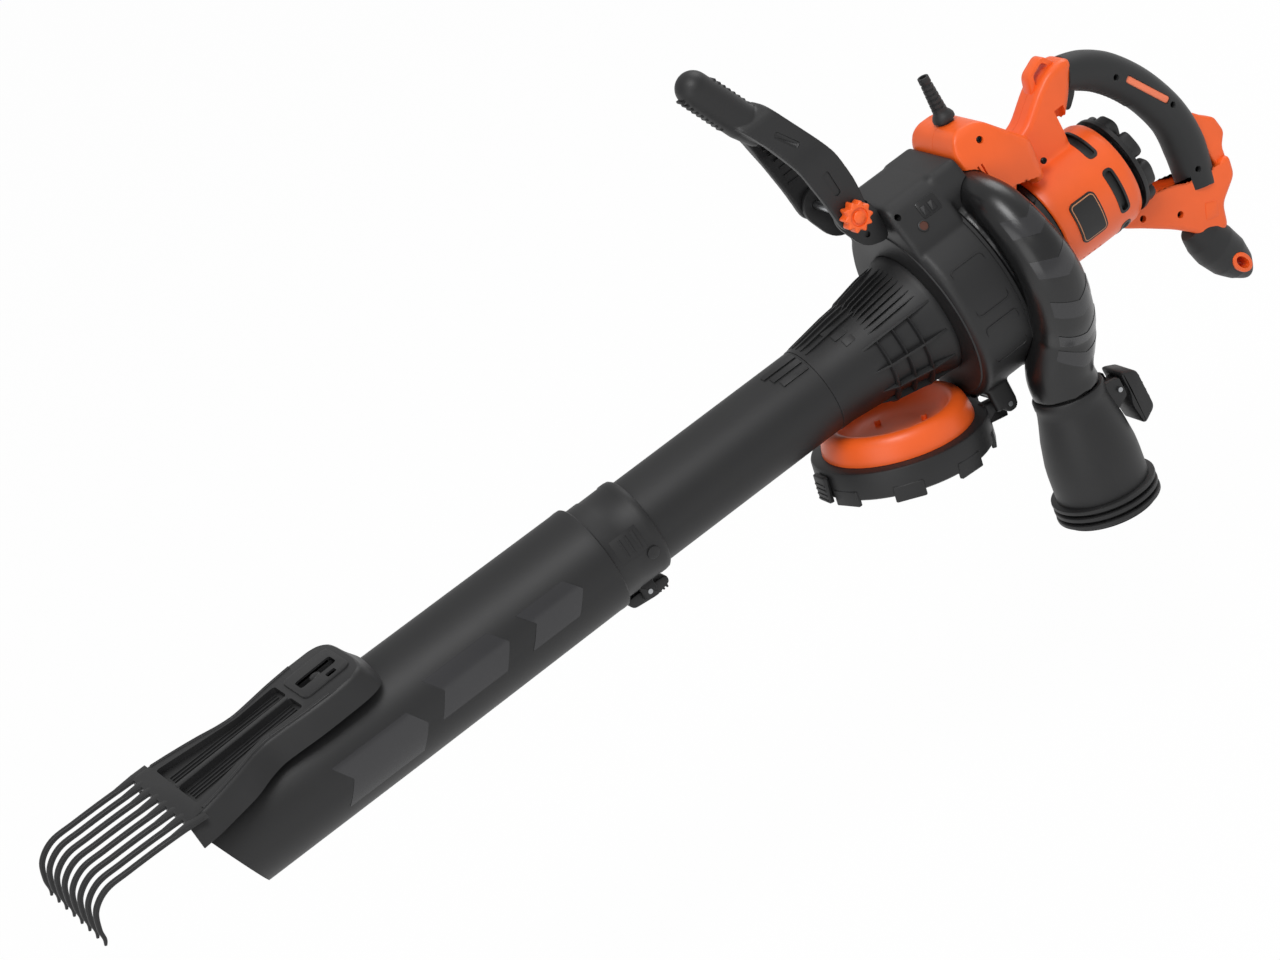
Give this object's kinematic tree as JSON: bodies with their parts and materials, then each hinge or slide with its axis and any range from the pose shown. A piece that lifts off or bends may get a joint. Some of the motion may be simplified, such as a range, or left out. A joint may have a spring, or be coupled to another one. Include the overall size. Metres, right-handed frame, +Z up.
{
  "type": "leaf vacuum mulcher",
  "caption": "Hand-held leaf vacuum mulcher with a scroll fan casing, long ribbed suction tube, clip-on rake, hinged intake cover, bag outlet and two handles.",
  "frame": {"origin": "centre of the rear main grip, where a hand holds the machine", "axes": "+X along the suction tube from the motor to the mouth, +Y to the machine's left, +Z up on the handle side"},
  "size_m": [1.3327, 0.2397, 0.5847],
  "materials": {
    "orange_shell": "satin moulded ABS, orange",
    "charcoal_shell": "fine-grained moulded polypropylene, charcoal",
    "tube_black": "smooth satin blow-moulded tube, charcoal",
    "gloss_duct": "satin to glossy moulded black",
    "soft_grip": "soft-touch overmould, dark grey",
    "guard_rubber": "flexible cord guard, black",
    "trigger_black": "satin black",
    "salmon_inlay": "satin salmon inlay",
    "panel_black": "blank gloss panel with a pale rim",
    "steel": "turned and ground steel",
    "copper": "lacquered copper winding",
    "brush_carbon": "carbon brush in a brass holder"
  },
  "bodies": {
    "machine": {"motor_housing_left": "orange_shell", "motor_housing_right": "orange_shell", "strap_hook": "orange_shell", "rear_hook": "orange_shell", "tail_eyelet": "orange_shell", "fan_casing_front": "charcoal_shell", "outlet_pipe": "charcoal_shell", "bag_collar": "charcoal_shell", "motor_neck": "charcoal_shell", "rear_vent_cap": "charcoal_shell", "handle_lug_left": "charcoal_shell", "handle_lug_right": "charcoal_shell", "switch_module": "charcoal_shell", "inlet_adapter": "tube_black", "upper_tube": "tube_black", "volute_duct": "gloss_duct", "grip_half_left": "soft_grip", "grip_half_right": "soft_grip", "tail_grip": "soft_grip", "cord_guard": "guard_rubber", "grip_inlay_left": "salmon_inlay", "grip_inlay_right": "salmon_inlay", "label_panel": "panel_black", "outlet_latch_pin": "steel", "trigger_pin": "steel", "cover_hinge_pin": "steel", "stator": "steel", "bearing_rear": "steel", "bearing_front": "steel", "field_coil_rear": "copper", "field_coil_front": "copper", "brush_left": "brush_carbon", "brush_right": "brush_carbon"},
    "rotor": {"motor_shaft": "steel", "armature": "steel", "commutator": "copper", "cooling_fan": "charcoal_shell", "impeller": "gloss_duct", "impeller_nut": "steel"},
    "assist": {"assist_handle": "charcoal_shell", "assist_bolt": "steel"},
    "knob": {"assist_knob": "orange_shell"},
    "cover": {"cover_ring": "charcoal_shell", "cover_bell": "orange_shell", "cover_catch": "charcoal_shell"},
    "lower": {"lower_tube": "tube_black", "tube_collar": "tube_black", "tube_latch_pin": "steel"},
    "latch": {"tube_latch": "charcoal_shell"},
    "rake_head": {"rake": "charcoal_shell"},
    "trigger_arm": {"trigger": "trigger_black"},
    "bag_latch": {"outlet_latch": "charcoal_shell"}
  },
  "joints": [
    {"name": "rotor_spin", "type": "hinge", "parent": "machine", "child": "rotor", "pos_m": [0.279, 0, -0.031], "axis": [1, 0, 0], "continuous": true},
    {"name": "assist_tilt", "type": "hinge", "parent": "machine", "child": "assist", "pos_m": [0.343, 0, 0.108], "axis": [0, 1, 0], "range_deg": [-40, 35]},
    {"name": "knob_turn", "type": "hinge", "parent": "assist", "child": "knob", "pos_m": [0.343, 0, 0.108], "axis": [0, 1, 0], "range_deg": [0, 180]},
    {"name": "cover_swing", "type": "hinge", "parent": "machine", "child": "cover", "pos_m": [0.293, 0, -0.145], "axis": [0, 1, 0], "range_deg": [0, 25]},
    {"name": "tube_slide", "type": "slide", "parent": "machine", "child": "lower", "axis": [1, 0, 0], "range_m": [-0.165, 0]},
    {"name": "tube_latch_press", "type": "hinge", "parent": "lower", "child": "latch", "pos_m": [0.683, 0, -0.087], "axis": [0, 1, 0], "range_deg": [0, 6], "stiffness_Nm_per_rad": 0.3, "springref_deg": -2.86},
    {"name": "rake_slide", "type": "slide", "parent": "lower", "child": "rake_head", "axis": [1, 0, 0], "range_m": [0, 0.012]},
    {"name": "trigger_press", "type": "hinge", "parent": "machine", "child": "trigger_arm", "pos_m": [0.0775, 0, 0.065], "axis": [0, 1, 0], "range_deg": [-6, 0], "stiffness_Nm_per_rad": 0.3, "springref_deg": 2.86},
    {"name": "bag_latch_press", "type": "hinge", "parent": "machine", "child": "bag_latch", "pos_m": [0.2075, 0.075, -0.179], "axis": [0, 1, 0], "range_deg": [0, 5], "stiffness_Nm_per_rad": 0.5, "springref_deg": -5.73}
  ]
}
